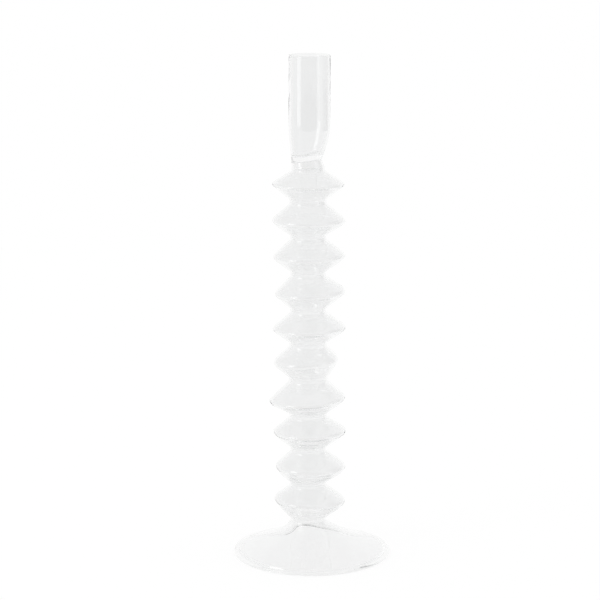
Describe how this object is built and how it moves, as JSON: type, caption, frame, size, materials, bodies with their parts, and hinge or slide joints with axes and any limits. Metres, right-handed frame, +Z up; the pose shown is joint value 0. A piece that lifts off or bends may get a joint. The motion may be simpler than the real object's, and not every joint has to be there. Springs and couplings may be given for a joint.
{
  "type": "glass candlestick",
  "caption": "Tall clear glass candlestick: a tubular cup for a taper candle on a stem of stacked hollow discs, fused to a wide, shallow domed foot.",
  "frame": {"origin": "centre of the foot's rim, on the table", "axes": "+Z up towards the candle cup; the stem stands slightly to -X of the foot's centre; the front faces -Y"},
  "size_m": [0.1, 0.1, 0.32],
  "materials": {
    "clear_glass": "clear, colourless, fire polished; slightly uneven by hand"
  },
  "bodies": {
    "root": {"foot": "clear_glass", "stem_disc_01": "clear_glass", "stem_disc_02": "clear_glass", "stem_disc_03": "clear_glass", "stem_disc_04": "clear_glass", "stem_disc_05": "clear_glass", "stem_disc_06": "clear_glass", "stem_disc_07": "clear_glass", "stem_disc_08": "clear_glass", "stem_disc_09": "clear_glass", "stem_disc_10": "clear_glass", "candle_cup": "clear_glass"}
  },
  "joints": []
}
